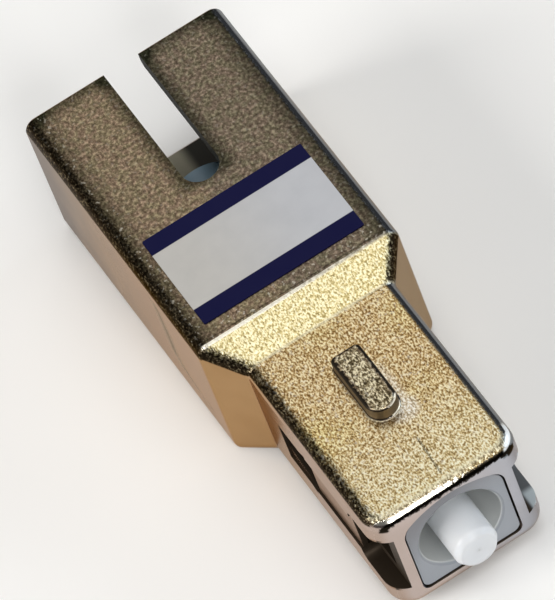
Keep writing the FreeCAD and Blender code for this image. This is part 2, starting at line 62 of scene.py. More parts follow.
class Tap:  # the output of a shader node, ready to be used in sums
    def __init__(self, tree, socket):
        self.tree = tree
        self.socket = socket

    def maths(self, operation, *values):
        node = self.tree.nodes.new("ShaderNodeMath")
        node.operation = operation
        for socket, value in zip(node.inputs, values):
            feed(self.tree, socket, value)
        return Tap(self.tree, node.outputs[0])

    def __add__(self, other):
        return self.maths("ADD", self, other)

    def __sub__(self, other):
        return self.maths("SUBTRACT", self, other)

    def __rsub__(self, other):
        return self.maths("SUBTRACT", other, self)

    def __mul__(self, other):
        return self.maths("MULTIPLY", self, other)

    def __abs__(self):
        return self.maths("ABSOLUTE", self)

    __radd__ = __add__
    __rmul__ = __mul__

    def squared(self):
        return self * self

    def most(self, other):  # the larger of two
        return self.maths("MAXIMUM", self, other)

    def least(self, other):  # the smaller of two
        return self.maths("MINIMUM", self, other)


def feed(tree, socket, value):  # a link or a plain value into a socket
    if isinstance(value, Tap):
        tree.links.new(value.socket, socket)
    else:
        socket.default_value = value


class Finish:  # a material and the nodes behind it
    def __init__(self, name, **constants):
        self.material = bpy.data.materials.new(name)
        self.material.use_nodes = True
        self.tree = self.material.node_tree
        self.shader = self.tree.nodes["Principled BSDF"]
        for socket, value in constants.items():
            self.shader.inputs[socket.replace("_", " ")].default_value = value

    def node(self, kind, settings=None, sockets=None, out=0):
        made = self.tree.nodes.new("ShaderNode" + kind)
        for name, value in (settings or {}).items():
            if name == "stops":
                ramp = made.color_ramp.elements
                while len(ramp) < len(value):
                    ramp.new(1.0)
                for element, (place, colour) in zip(ramp, value):
                    element.position, element.color = place, colour
            else:
                setattr(made, name, value)
        for name, value in (sockets or {}).items():
            feed(self.tree, made.inputs[name], value)
        return Tap(self.tree, made.outputs[out])

    def place(self):  # object coordinates as a vector
        return self.node("TexCoord", out="Object")

    def axes(self, vector):  # a vector's three numbers
        split = self.node("SeparateXYZ", sockets={"Vector": vector}).socket.node
        return [Tap(self.tree, output) for output in split.outputs]

    def step(self, value, low, high):  # 0 below low, 1 above high, smooth between
        return self.node("MapRange", {"interpolation_type": "SMOOTHSTEP"},
                         {"Value": value, "From Min": low, "From Max": high})

    def between(self, value, places, levels):  # from one level to the other between two places
        return self.node("MapRange", sockets={"Value": value, "From Min": places[0], "From Max": places[1],
                                              "To Min": levels[0], "To Max": levels[1]})

    def noise(self, vector, scale, detail=2.0, rough=0.5):
        return self.node("TexNoise", sockets={"Vector": vector, "Scale": scale, "Detail": detail,
                                              "Roughness": rough})

    def mix(self, share, first, second):  # two colours
        return self.node("Mix", {"data_type": "RGBA"}, {0: share, 6: first, 7: second}, out=2)

    def ramp(self, value, stops):  # a colour from a value
        return self.node("ValToRGB", {"stops": stops}, {"Fac": value})

    def shade(self, first, second):  # one colour times another
        return self.node("Mix", {"data_type": "RGBA", "blend_type": "MULTIPLY"},
                         {0: 1.0, 6: first, 7: second}, out=2)

    def bump(self, height, depth):
        return self.node("Bump", sockets={"Height": height, "Distance": depth, "Strength": 1.0})

    def set(self, **sockets):
        for name, value in sockets.items():
            feed(self.tree, self.shader.inputs[name.replace("_", " ")], value)
        return self.material


def dress(material, *names):  # the same finish on several CAD nodes
    for name in names:
        for slot in nodes[name].material_slots:
            slot.material = material


platingLook = {
    # pebbles of the blasted skin per metre, and the softer ones and the glints as shares of that
    "grain": 8600,
    "softShare": 0.6,
    "glintShare": 0.5,
    "stretch": (0.75, 1.15, 1.0),
    "grainDepth": 0.03 * mm,
    # slow changes of tint per metre
    "clouds": 420,
    "blotches": 2600,
    "drifts": 190,
    # the top in millimetres: where the shoulder starts and ends, and the half width at both ends of it
    "shoulder": (1.14, 3.06),
    "halfWidth": (6.1, 4.5),
    "key": {"rear": 5.86, "front": 10.46, "half": 0.875, "top": 8.9},
    "glowBeside": 1.0,         # how far over to the far side the painted light beside the key lies, and the one ahead
    "glowAhead": 0.75,
    "darkLine": 0.88,          # where the painted dark line above the shoulder lies, and how far pebbles push it
    "darkLineStray": 0.15,
    "scratch": ((12.4, 0.41), (15.1, 0.25)),
    # where the run mark down the near side lies along the part, at shares of its height in millimetres
    "run": ((0.24, -1.0), (0.26, -2.1), (0.31, -3.1), (0.42, -3.9), (0.66, -3.8), (0.88, -3.9), (0.97, -4.2)),
    "runHeight": 8,
    "runReach": 6,             # how far back it may lie
    "runStray": 0.06,          # how far clouds push it, as a share of that
    # how far the far half shifts the front edge's blasting and its painted dark line, as shares of a face's
    # tilt
    "farSetback": 0.2,
    "farLineShift": 0.1,
    "bandReach": 0.3,          # how much lower the body's bands reach, likewise
    "ridgeScatter": 14,        # millimetres over which glints break up the painted highlight on the shoulder
    "portSideStray": 6,        # millimetres by which clouds push the change of tint on the near side
    # tints of the blasted skin from its pits to its pebbles, for each place
    "plugSkin": ((0.36, tint(124, 96, 58)), (0.49, tint(206, 179, 132)), (0.62, tint(255, 248, 220))),
    "shoulderSkin": ((0.34, tint(160, 142, 92)), (0.46, tint(214, 198, 142)), (0.60, tint(255, 248, 210))),
    # painted light: the plug's skin brighter towards its front
    "frontSkin": ((0.36, tint(148, 124, 78)), (0.49, tint(226, 208, 158)), (0.62, tint(255, 254, 230))),
    # painted light thrown off the key onto the plug beside and ahead of it
    "glowSkin": ((0.36, tint(176, 160, 132)), (0.49, tint(234, 222, 200)), (0.60, tint(255, 255, 250))),
    # painted shade: the body's skin darker and browner than the plug's gold
    "bodySkin": ((0.32, tint(92, 81, 68)), (0.50, tint(134, 120, 103)), (0.68, tint(192, 174, 152))),
    # a greyer, darker skin: painted shade on the key's top and where the front edge turns down
    "keySkin": ((0.37, tint(66, 57, 41)), (0.50, tint(144, 129, 98)), (0.61, tint(242, 232, 200))),
    # painted dark reflections in bands along the near edges and the shoulder's edges
    "bandSkin": ((0.40, tint(24, 18, 12)), (0.56, tint(54, 45, 32)), (0.70, tint(130, 118, 94))),
    # tints that the skin is multiplied by or turns into
    "rose": tint(255, 244, 238),
    "warm": tint(255, 249, 236),
    "yellow": tint(255, 252, 222),
    "olive": tint(243, 246, 228),
    # painted shade that darkens the body towards its edges, rear and keyway
    "soot": tint(92, 102, 90),
    # painted shade: the body's far half darker and cooler
    "farHalf": tint(226, 232, 240),
    "goldBlotch": tint(241, 239, 236),
    "clouded": tint(232, 226, 218),
    # cream: the colour of painted highlights and glints
    "cream": tint(255, 250, 234),
    # dark: the colour of painted dark lines and of painted shade on the key's walls
    "dark": tint(30, 26, 20),
    # bar: the painted highlight at the front's far corner
    "bar": tint(246, 251, 255),
    # tints of the polished faces, with painted reflections, and of the hollows, with painted shade and light;
    # the run mark is the plating's own
    "nearSide": tint(200, 172, 140),
    "portSide": tint(126, 120, 118),
    "shoulderSide": tint(186, 154, 116),
    "plugSide": tint(190, 172, 162),
    "farSide": tint(184, 170, 150),
    "farEdge": tint(126, 132, 137),
    "frontFace": tint(202, 188, 183),
    "farFront": tint(186, 192, 204),
    "edge": tint(176, 160, 144),
    # keyWall: painted shade on the key's walls
    "keyWall": tint(96, 84, 64),
    # recess: painted shade on the recessed wall
    "recess": tint(218, 204, 190),
    # pocket: painted shade inside the latch pockets, and also the colour of the scratch
    "pocket": tint(50, 42, 33),
    # painted reflection in the far pocket and a painted highlight at its front
    "farPocket": tint(92, 97, 102),
    "farGleam": tint(186, 198, 205),
    "runMark": tint(84, 74, 52),
    # painted light and painted shade in the port and the keyway
    "port": tint(140, 138, 122),
    "portShade": tint(20, 27, 26),
    "grazing": (0.67, 0.55, 0.45, 1.0),  # tint of the plating seen along its surface
    # how strongly each mark shows
    "share": {"soot": 0.8, "frontSkin": 0.8, "besideKey": 0.6, "aheadOfKey": 0.85, "root": 0.35,
              "frontTurn": 0.7, "ridgeBreaks": 0.8, "darkLine": 0.55, "run": 0.8, "scratch": 0.5},
    # how thick the painted glints lie
    "flecks": {"anywhere": 0.08, "nearEdge": 0.4, "strip": 0.3, "plug": 0.25},
    "scratchDepth": 0.4,       # this and the next as shares of the grain's depth
    "runRelief": 0.3,
    # how dull each place is, and what that does to roughness and metal
    "dulled": {"latch": 1.0, "port": 1.6, "slot": 1.0, "corner": 0.8, "run": 1.0, "keyWall": 0.8,
               "portEnd": 1.0, "plugSide": 0.5},
    "dullRoughness": 0.3,
    "dullMetal": 0.6,
    "blastedRoughness": 0.28,
    "polishedRoughness": 0.12,
    "cloudRoughness": 0.05,
    # where each mask starts and where it is full: millimetres for places, shares for the way a face looks;
    # a third and a fourth number say how far the pebbles and the softer grain push that border about
    "fades": {
        "patchy": (0.35, 0.65),
        # parts of the top
        "shoulderStart": (1.05, 1.25), "shoulderEnd": (2.9, 3.2), "plugStart": (2.85, 3.25, 0.3),
        "pastShoulder": (4.2, 4.8), "front": (11, 12), "upper": (7.3, 7.45), "facingUp": (0.38, 0.5),
        "nearHalf": (0.0, 1.0), "pastMiddle": (0.2, 1.0, 0, 5),
        # the key, from its own ends and top
        "keyRear": (-0.2, -0.1), "keyFront": (0.1, 0.2), "keyFoot": (8.06, 8.10), "keyTop": (-0.08, -0.02),
        "keyRim": (0.14, 0.32, 0, 0.5), "keyWallTop": (0.15, 0.4),
        "shineFront": (0.2, 0.35, 0, 0.3), "shineFar": (0.0, 0.2, 0, 1),
        "shineLow": (0.3, 0.4), "shineHigh": (0.85, 0.95, 0, 0.4),
        # edges of the blasting, and the painted highlight and painted dark line on the shoulder
        "frontEdge": (0.40, 0.52, 0.4), "rearEdge": (0.2, 0.5, 0.34), "farEdge": (0.2, 0.45, 0.5),
        "ridgeLow": (0.01, 0.06), "ridgeHigh": (0.40, 0.47, 0.1), "ridgeStart": (0.4, 0.6),
        "ridgeEnd": (1.9, 2.3), "ridgeTips": (0.3, 0.5), "ridgeBreaks": (-2.0, 5.0),
        "rootLow": (0.03, 0.10), "rootHigh": (0.36, 0.46), "rootStart": (2.3, 2.7), "darkLine": (0.02, 0.08),
        # changes of the skin
        "keywayEnd": (7.6, 8.3), "keywaySides": (1.1, 2.1), "edgeSoot": (0.3, 2.0), "rearSoot": (16.4, 17.9),
        "besideKey": (0.1, 0.55), "besideStart": (6.4, 8.4), "besideEnd": (10.0, 10.6),
        "aheadOfKey": (0.1, 1.1),  # as a distance squared
        "frontSkin": (8.5, 15.5), "strip": (-0.1, 0.3), "edgeFlecks": (0.5, 1.4), "sparkle": (0.60, 0.72),
        "frontTurn": (0.15, 0.4), "nearBand": (0.22, 0.95, 0.2, 1.2), "taperBand": (0.28, 0.60, 0.3, 0.8),
        # polished faces
        "portSide": (-16, 0), "plugSide": (3, 9), "farFront": (10, 15), "acrossFront": (-3, 5),
        "nearOrFar": (-0.3, 0.3), "facingEnds": (0.4, 0.8), "facingSides": (0.35, 0.75),
        "turning": (0.1, 0.2), "farRim": (7.2, 7.4),
        # painted highlight and painted dark line along the front edge, and the painted bar at its far corner
        "lip": (0.32, 0.42), "lipLow": (0.62, 0.68, 0, 0.2), "lipHigh": (0.85, 0.91, 0, 0.2),
        "lineStart": (0.70, 0.77, 0, 0.2), "lineEnd": (0.90, 0.95, 0, 0.2), "lineFoot": (7.25, 7.4),
        "cornerStart": (14.2, 14.6), "cornerSide": (3.4, 3.6),
        "cornerLow": (0.5, 0.58), "cornerHigh": (0.80, 0.86),
        # run mark and scratch
        "run": (0.02, 0.15), "runFoot": (1.5, 2.1), "runTop": (7.4, 8.0), "nearFace": (5.95, 6.05),
        "scratch": (0.02, 0.07, 0.2), "scratchEnd": (-0.1, 0.1),
        # latch passages
        "plugRear": (3.2, 3.4), "latchFoot": (2.05, 2.15), "latchTop": (6.55, 6.65),
        "rimFace": (0.5, 0.8), "rim": (15.5, 15.7), "crosswise": (0.3, 0.6),
        "recess": (4.40, 4.46), "latch": (4.22, 4.28), "passage": (4.51, 4.54),
        "farPocket": (3.7, 3.95), "pocketFloor": (0.5, 0.8), "gleamFront": (14.4, 14.9), "gleamFar": (3.8, 4.0),
        # port and keyway
        "portSides": (4.56, 4.60), "portEnd": (0.7, 0.9), "portTop": (8.1, 8.15), "portFoot": (0.55, 0.6),
        "slotSides": (1.10, 1.16), "slotEnd": (7.8, 8.0), "slotFoot": (7.9, 8.0), "portFaces": (0.4, 0.7),
        "patchNear": (-1.5, -0.3), "patchFar": (0.8, 1.6), "patchFront": (-14, -11),
        "dullPort": (-17, -5), "dullSides": (0.6, 0.9),
    },
}


class Plating(Finish):  # the housing's finish; its masks are shared by the steps below
    def __init__(self, look):
        super().__init__("nickelPlating", Specular_Tint=look["grazing"])
        self.look = look
        place = self.place()
        self.spot = [axis * (1 / mm) for axis in self.axes(place)]  # millimetres from here on
        self.facing = self.axes(self.node("TexCoord", out="Normal"))
        # pebbles of the blasted skin, softer ones on the body, loose glints and slow clouds
        stretched = self.node("Mapping", sockets={"Vector": place, "Scale": look["stretch"]})
        self.pebble = self.noise(stretched, look["grain"], detail=2.0, rough=0.55)
        self.soft = self.noise(place, look["grain"] * look["softShare"], detail=3.0, rough=0.6)
        self.glint = self.noise(place, look["grain"] * look["glintShare"], detail=1.0)
        self.cloud = self.noise(place, look["clouds"], detail=3.0)
        self.blotch = self.rise(self.noise(place, look["blotches"], detail=2.0), "patchy")
        self.drift = self.rise(self.noise(place, look["drifts"], detail=1.0), "patchy")
        self.crumb, self.clump = self.pebble - 0.5, self.soft - 0.5  # as much below nought as above

    def rise(self, value, name):  # 0 before the named border, 1 past it
        low, high, crumbs, clumps = (*self.look["fades"][name], 0, 0)[:4]
        if crumbs:
            value = value + self.crumb * crumbs
        if clumps:
            value = value + self.clump * clumps
        return self.step(value, low, high)

    def fall(self, value, name):  # 1 before the named border, 0 past it
        return 1 - self.rise(value, name)

    def grained(self, skin):  # one of the blasted tints, by the pebbles
        return self.ramp(self.pebble, self.look[skin])

    def markTop(self):  # which part of the top a point lies on, and whether it is blasted
        x, y, z = self.spot
        lean, side, up = self.facing
        look, rise, fall = self.look, self.rise, self.fall
        self.inset = self.between(x, look["shoulder"], look["halfWidth"]) - abs(y)  # in from the outline
        self.onShoulder = rise(x, "shoulderStart")
        self.onPlug = rise(x, "plugStart")
        self.taper = self.onShoulder * fall(x, "shoulderEnd")
        self.nearHalf = rise(0 - y, "nearHalf")
        self.pastMiddle = rise(y, "pastMiddle")
        key = look["key"]
        inKey = rise(x - key["rear"], "keyRear") * fall(x - key["front"], "keyFront") * rise(z, "keyFoot")
        keyInset = (key["half"] - abs(y)).least(x - key["rear"])
        self.keyTop = inKey * rise(z - key["top"], "keyTop") * rise(keyInset, "keyRim")
        self.keyWall = inKey * (1 - self.keyTop)
        # the blasting stops, crumbling, where the edges start to turn down; the body's bands reach lower
        frontEdge = rise(lean - self.pastMiddle * look["farSetback"], "frontEdge") * rise(x, "pastShoulder")
        farEdge = rise(side, "farEdge") * (1 - self.taper)
        self.upper = rise(z, "upper") * rise(up + look["bandReach"] * (1 - self.onPlug), "facingUp")
        kept = self.upper * (1 - frontEdge) * fall(0 - lean, "rearEdge") * (1 - farEdge) * (1 - inKey)
        self.blasted = kept + self.keyTop
        # the rounded edge at the top of the shoulder and the one at its root
        self.ridge = rise(lean, "ridgeLow") * fall(lean, "ridgeHigh")
        self.ridge = self.ridge * rise(x, "ridgeStart") * fall(x, "ridgeEnd")
        self.root = rise(lean, "rootLow") * fall(lean, "rootHigh") * rise(x, "rootStart")

    def bodySkin(self):  # painted shade: darker towards the body's edges, rear and keyway, and darker and cooler on the far half
        x, y, _ = self.spot
        look, rise, fall = self.look, self.rise, self.fall
        atKeyway = rise(0 - x, "keywayEnd") * fall(abs(y), "keywaySides")
        # painted shade towards the edges, the rear and the keyway
        shadeAmount = fall(self.inset, "edgeSoot") + rise(0 - x, "rearSoot") + atKeyway
        mottle = self.mix(self.blotch, look["rose"], look["olive"])
        shadeTint = self.mix(shadeAmount * look["share"]["soot"], mottle, look["soot"])
        body = self.shade(self.ramp(self.soft, look["bodySkin"]), shadeTint)
        # painted shade on the far half
        return self.shade(body, self.mix(self.nearHalf, look["farHalf"], white))

    def plugSkin(self):  # golden, with painted light: brighter towards the front and beside and ahead of the key
        x, y, _ = self.spot
        look, share, rise, fall = self.look, self.look["share"], self.rise, self.fall
        gold = self.shade(self.grained("plugSkin"), self.mix(self.drift, look["warm"], look["yellow"]))
        gold = self.shade(gold, self.mix(self.blotch, look["goldBlotch"], white))
        # painted light towards the front
        gold = self.mix(rise(x, "frontSkin") * share["frontSkin"], gold, self.grained("frontSkin"))
        # painted light beside and ahead of the key
        beside = fall(abs(y - look["glowBeside"]), "besideKey")
        beside = beside * rise(x, "besideStart") * fall(x, "besideEnd")
        away = (x - look["key"]["front"]).squared() + (y - look["glowAhead"]).squared()
        glow = (beside * share["besideKey"]).most(fall(away, "aheadOfKey") * share["aheadOfKey"])
        return self.mix(glow, gold, self.grained("glowSkin"))

    def blastedSkin(self):  # the whole top, with its painted glints, painted dark bands and painted lines
        x, y, _ = self.spot
        lean, _, _ = self.facing
        look, share, rise, fall = self.look, self.look["share"], self.rise, self.fall
        skin = self.mix(self.onShoulder, self.bodySkin(), self.grained("shoulderSkin"))
        skin = self.mix(self.onPlug, skin, self.plugSkin())
        # painted highlight along the shoulder's root
        skin = self.mix(self.root * share["root"], skin, look["yellow"])
        # painted shade: the key's top greyer and darker than the deck
        skin = self.mix(self.keyTop, skin, self.grained("keySkin"))
        # painted glints, thicker near the near edge, on the strip and on the plug
        flecked = {"nearEdge": self.nearHalf * fall(self.inset, "edgeFlecks"),
                   "strip": rise(x, "strip") * (1 - self.onShoulder), "plug": self.onPlug}
        flecks = look["flecks"]["anywhere"] + sum(look["flecks"][name] * mask for name, mask in flecked.items())
        skin = self.mix(rise(self.glint, "sparkle") * flecks, skin, look["cream"])
        # painted shade where the front edge turns down
        frontTurn = rise(lean, "frontTurn") * rise(x, "front") * share["frontTurn"]
        skin = self.mix(frontTurn, skin, self.grained("keySkin"))
        # painted dark reflections: crumbling bands along the near edges and both edges of the shoulder
        nearBand = fall(self.inset, "nearBand") * self.nearHalf
        taperBand = fall(self.inset, "taperBand") * self.taper
        skin = self.mix(nearBand.most(taperBand), skin, self.grained("bandSkin"))
        # painted highlight along the top of the shoulder, breaking up to the right, and a painted dark line
        # above it
        scattered = y + (self.glint - 0.5) * look["ridgeScatter"]
        whole = 1 - rise(scattered, "ridgeBreaks") * share["ridgeBreaks"]
        skin = self.mix(self.ridge * whole * rise(self.inset, "ridgeTips"), skin, look["cream"])
        above = fall(abs(x - look["darkLine"] + self.crumb * look["darkLineStray"]), "darkLine")
        return self.mix(above * share["darkLine"], skin, look["dark"])

    def polishedFaces(self):  # each in the tint it has in its own light: painted reflections, with the key's walls in painted shade and a painted highlight
        x, y, z = self.spot
        lean, side, up = self.facing
        look, rise, fall = self.look, self.rise, self.fall
        pastPort = rise(x + self.cloud * look["portSideStray"], "portSide")
        near = self.mix(pastPort, look["portSide"], look["nearSide"])
        near = self.mix(self.taper, near, look["shoulderSide"])
        near = self.mix(rise(x, "plugSide"), near, look["plugSide"])
        far = self.mix(rise(x, "farFront"), look["farSide"], look["farFront"])
        flank = self.mix(rise(side, "nearOrFar"), near, far)
        ends = self.mix(rise(y, "acrossFront"), look["frontFace"], look["farFront"])
        plain = self.mix(rise(abs(lean), "facingEnds"), look["edge"], ends)
        plain = self.mix(rise(abs(side), "facingSides"), plain, flank)
        plain = self.shade(plain, self.mix(self.cloud, look["clouded"], white))
        # a painted grey reflection along the far rim
        farRim = rise(side, "turning") * rise(up, "turning") * rise(z, "farRim")
        plain = self.mix(farRim, plain, look["farEdge"])
        # the key's walls in painted shade, with a painted highlight at its far front corner
        keyEdge = self.mix(rise(up, "keyWallTop"), look["keyWall"], look["dark"])
        shine = rise(lean, "shineFront") * rise(side, "shineFar")
        shine = shine * rise(up, "shineLow") * fall(up, "shineHigh")
        return self.mix(self.keyWall, plain, self.mix(shine, keyEdge, look["cream"]))

    def frontLines(self, plain):  # a painted highlight that comes back at the far corner as a painted bar, and a painted dark line
        x, y, z = self.spot
        lean, _, up = self.facing
        look, rise, fall = self.look, self.rise, self.fall
        lip = rise(lean, "lip") * (1 - self.pastMiddle)
        lip = lip * rise(up, "lipLow") * fall(up, "lipHigh") * rise(x, "front")
        self.corner = rise(x, "cornerStart") * rise(y, "cornerSide")
        self.corner = self.corner * rise(up, "cornerLow") * fall(up, "cornerHigh")
        line = rise(lean + self.pastMiddle * look["farLineShift"], "lineStart") * fall(lean, "lineEnd")
        line = line * rise(z, "lineFoot") * rise(x, "front")
        bright = self.mix(self.corner, look["cream"], look["bar"])
        return self.mix(lip + self.corner, self.mix(line, plain, look["dark"]), bright)

    def runMark(self, plain):  # by how far a point lies from the mark's line at its height
        x, y, z = self.spot
        look, rise, fall = self.look, self.rise, self.fall
        reach = look["runReach"]
        course = [(share, [(mark + reach) / reach] * 3 + [1.0]) for share, mark in look["run"]]
        strayed = abs(x * (1 / reach) + 1 - self.ramp(z * (1 / look["runHeight"]), course))
        self.run = fall(strayed + self.cloud * look["runStray"], "run") * rise(0 - y, "nearFace")
        self.run = self.run * rise(z, "runFoot") * fall(z, "runTop")
        return self.mix(self.run * look["share"]["run"], plain, look["runMark"])

    def hollows(self, plain):  # painted shade, reflections and light inside the latch passages, the port and the keyway
        x, y, z = self.spot
        lean, side, up = self.facing
        look, rise, fall = self.look, self.rise, self.fall
        inPlug = rise(x, "plugRear") * rise(z, "latchFoot") * fall(z, "latchTop")
        inPlug = inPlug * (1 - rise(lean, "rimFace") * rise(x, "rim"))
        # painted shade on the recessed wall
        recess = fall(abs(y), "recess") * inPlug
        passage = fall(abs(y), "passage") * fall(abs(side), "crosswise")
        self.latch = fall(abs(y), "latch").most(passage) * inPlug
        # painted shade in the pockets, a painted grey reflection in the far one and a painted highlight at its
        # front
        pocket = self.mix(rise(y, "farPocket") * rise(up, "pocketFloor"), look["pocket"], look["farPocket"])
        pocket = self.mix(rise(x, "gleamFront") * rise(y, "gleamFar"), pocket, look["farGleam"])
        plain = self.mix(self.latch, self.mix(recess, plain, self.shade(plain, look["recess"])), pocket)
        # painted light on one patch of the port's floor behind its mouth, painted shade on the rest
        self.port = fall(abs(y), "portSides") * fall(x, "portEnd") * fall(z, "portTop") * rise(z, "portFoot")
        self.slot = fall(abs(y), "slotSides") * rise(0 - x, "slotEnd") * rise(z, "slotFoot") * (1 - self.upper)
        patch = rise(y, "patchNear") * fall(y, "patchFar") * fall(x, "patchFront")
        shaded = rise(abs(side), "portFaces") + (1 - patch) * rise(up, "portFaces")
        return self.mix(self.port + self.slot, plain, self.mix(shaded, look["port"], look["portShade"]))

    def scratch(self):  # one line across the plug
        x, y, _ = self.spot
        (x0, y0), (x1, y1) = self.look["scratch"]
        slope = (y1 - y0) / (x1 - x0)
        scored = self.fall(abs(y - y0 - (x - x0) * slope), "scratch")
        return scored * self.rise(x - x0, "scratchEnd") * self.fall(x - x1, "scratchEnd") * self.upper

    def dullness(self):  # how far a place is from clean plating
        x, _, _ = self.spot
        _, side, _ = self.facing
        sides = self.rise(abs(side), "dullSides")
        masks = {"latch": self.latch, "port": self.port, "slot": self.slot, "corner": self.corner,
                 "run": self.run, "keyWall": self.keyWall, "portEnd": self.fall(x, "dullPort") * sides,
                 "plugSide": self.rise(x, "plugSide") * sides}
        return sum(mask * self.look["dulled"][name] for name, mask in masks.items())


def platingFinish(look):
    made = Plating(look)
    made.markTop()
    plain = made.hollows(made.runMark(made.frontLines(made.polishedFaces())))
    scored = made.scratch()
    colour = made.mix(made.blasted, plain, made.blastedSkin())
    colour = made.mix(scored * look["share"]["scratch"], colour, look["pocket"])
    height = made.pebble * made.blasted - scored * look["scratchDepth"] + made.run * look["runRelief"]
    dull = made.dullness()
    rough = made.blasted * (look["blastedRoughness"] - look["polishedRoughness"]) + look["polishedRoughness"]
    rough = rough + made.cloud * look["cloudRoughness"] + dull * look["dullRoughness"]
    return made.set(Base_Color=colour, Roughness=rough, Metallic=1 - dull * look["dullMetal"],
                    Normal=made.bump(height, look["grainDepth"]))


labelLook = {
    "paper": tint(189, 187, 182),
    "farPaper": tint(188, 190, 194),
    "across": (-4 * mm, 4 * mm),  # where the one turns into the other
    "mottle": tint(238, 238, 240),
    "mottles": 900,            # per metre
    "ink": tint(9, 10, 54),
    "stripe": 1.15 * mm,       # width of the printed stripe at each long edge
    "bleed": 0.02 * mm,
    "ripples": 1400,           # per metre
    "rippleDepth": 0.004 * mm,
    "roughness": 0.25,
    "uneven": 0.3,             # what the mottle adds to the roughness at most, and the range it does so over
    "unevenRange": (-0.4, 1.6),
}


def labelFinish(look):
    made = Finish("printedFilm", IOR=1.48, Specular_IOR_Level=0.1)
    place = made.place()
    x, y, _ = made.axes(place)
    low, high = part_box("label")
    middle = (low.x + high.x) / 2
    edge = (high.x - low.x) / 2 - look["stripe"]
    inked = made.step(abs(x - middle), edge - look["bleed"], edge + look["bleed"])
    mottle = made.noise(place, look["mottles"], detail=3.0)
    paper = made.mix(made.step(y, *look["across"]), look["paper"], look["farPaper"])
    paper = made.shade(paper, made.mix(mottle, look["mottle"], white))
    rough = made.step(mottle, *look["unevenRange"]) * look["uneven"] + look["roughness"]
    relief = made.bump(made.noise(place, look["ripples"], detail=2.0), look["rippleDepth"])
    return made.set(Base_Color=made.mix(inked, paper, look["ink"]), Roughness=rough, Normal=relief)


plasticLook = {
    "body": tint(158, 163, 170),
    "shadow": tint(146, 151, 159),
    "crown": tint(124, 124, 128),  # painted shade: darker towards the upper near corner
    "mouth": tint(206, 209, 208),  # painted light: lighter inside the mouth round the ferrule
    # painted shade on the frame's flanks behind its front
    "flank": tint(88, 90, 92),
    # in millimetres: from where the crown's tint rises and how that slants, the height of the fibre axis,
    # the mouth's edge as a radius squared, and the front of the frame
    "crownRise": (4.0, 8.0),
    "crownSlant": 0.4,
    "axis": 4.35,
    "mouthEdge": (5.9, 6.4),
    "front": (15.80, 15.90),
    "clouds": 500,             # per metre
    "grain": 9000,
    "grainDepth": 0.004 * mm,
    "roughness": 0.38,
    "uneven": 0.12,            # spread of the roughness
}
# the same plastic deep inside, darker and bluer: painted shade
innerPlasticLook = {
    **plasticLook,
    "body": tint(126, 150, 166),
    "shadow": tint(112, 134, 150),
    "crown": tint(122, 146, 162),
    "mouth": tint(116, 140, 156),
    "flank": tint(122, 146, 162),
    "roughness": 0.42,
}


def plasticFinish(name, look):
    made = Finish(name, IOR=1.5)
    place = made.place()
    x, y, z = [axis * (1 / mm) for axis in made.axes(place)]
    cloud = made.noise(place, look["clouds"], detail=3.0)
    colour = made.mix(cloud, look["shadow"], look["body"])
    # painted shade towards the upper near corner
    colour = made.mix(made.step(z - look["crownSlant"] * y, *look["crownRise"]), colour, look["crown"])
    # painted light inside the mouth and painted shade on the flanks behind the front
    fromAxis = y.squared() + (z - look["axis"]).squared()
    behind = made.mix(made.step(fromAxis, *look["mouthEdge"]), look["mouth"], look["flank"])
    colour = made.mix(1 - made.step(x, *look["front"]), colour, behind)
    relief = made.bump(made.noise(place, look["grain"], detail=2.0), look["grainDepth"])
    rough = cloud * look["uneven"] + (look["roughness"] - look["uneven"] / 2)
    return made.set(Base_Color=colour, Roughness=rough, Normal=relief)


zirconiaLook = {
    "body": tint(226, 229, 233),
    "cloud": tint(214, 218, 222),
    "clouds": 700,             # per metre
    "roughness": 0.28,
    "uneven": 0.08,
    "rounding": 0.3 * mm,
}


def zirconiaFinish(look):
    made = Finish("zirconia", IOR=2.1, Subsurface_Weight=0.6, Subsurface_Scale=0.5 * mm,
                  Subsurface_Radius=(1.0, 0.95, 0.9), Specular_IOR_Level=0.2)
    cloud = made.noise(made.place(), look["clouds"], detail=3.0)
    colour = made.mix(cloud, look["cloud"], look["body"])
    softened = made.node("Bevel", {"samples": 6}, {"Radius": look["rounding"]})  # the edges look worn round
    return made.set(Base_Color=colour, Roughness=cloud * look["uneven"] + look["roughness"], Normal=softened)


fibreLook = {
    "light": tint(222, 226, 227),
    "dark": tint(205, 210, 212),
    "clouds": 20000,           # per metre
    "roughness": 0.08,
    "uneven": 0.1,
}


def fibreFinish(look):
    made = Finish("fibreGlass", IOR=1.46)
    cloud = made.noise(made.place(), look["clouds"], detail=2.0)
    return made.set(Base_Color=made.mix(cloud, look["dark"], look["light"]),
                    Roughness=cloud * look["uneven"] + look["roughness"])


collarLook = {
    "light": tint(205, 200, 190),
    "dark": tint(170, 165, 155),
    "lines": 9000,             # per metre along the axis
    "lineDepth": 0.003 * mm,
    "roughness": 0.18,
    "uneven": 0.18,
}
wireLook = {
    **collarLook,
    "light": tint(190, 190, 190),
    "dark": tint(140, 140, 142),
    "lines": 5000,
}


def brightMetalFinish(name, look):  # drawn or turned metal with fine lines round the fibre axis
    made = Finish(name, Metallic=1.0)
    x, _, _ = made.axes(made.place())
    streak = made.noise(made.node("CombineXYZ", sockets={"X": x * look["lines"]}), 1.0, detail=3.0)
    return made.set(Base_Color=made.mix(streak, look["dark"], look["light"]),
                    Roughness=streak * look["uneven"] + look["roughness"],
                    Normal=made.bump(streak, look["lineDepth"]))


def meshPiece(name, points, faces, smooth=True):
    mesh = bpy.data.meshes.new(name)
    mesh.from_pydata(points.tolist(), [], faces)
    mesh.polygons.foreach_set("use_smooth", np.full(len(mesh.polygons), smooth))
    mesh.validate()
    piece = bpy.data.objects.new(name, mesh)
    bpy.context.scene.collection.objects.link(piece)
    return piece


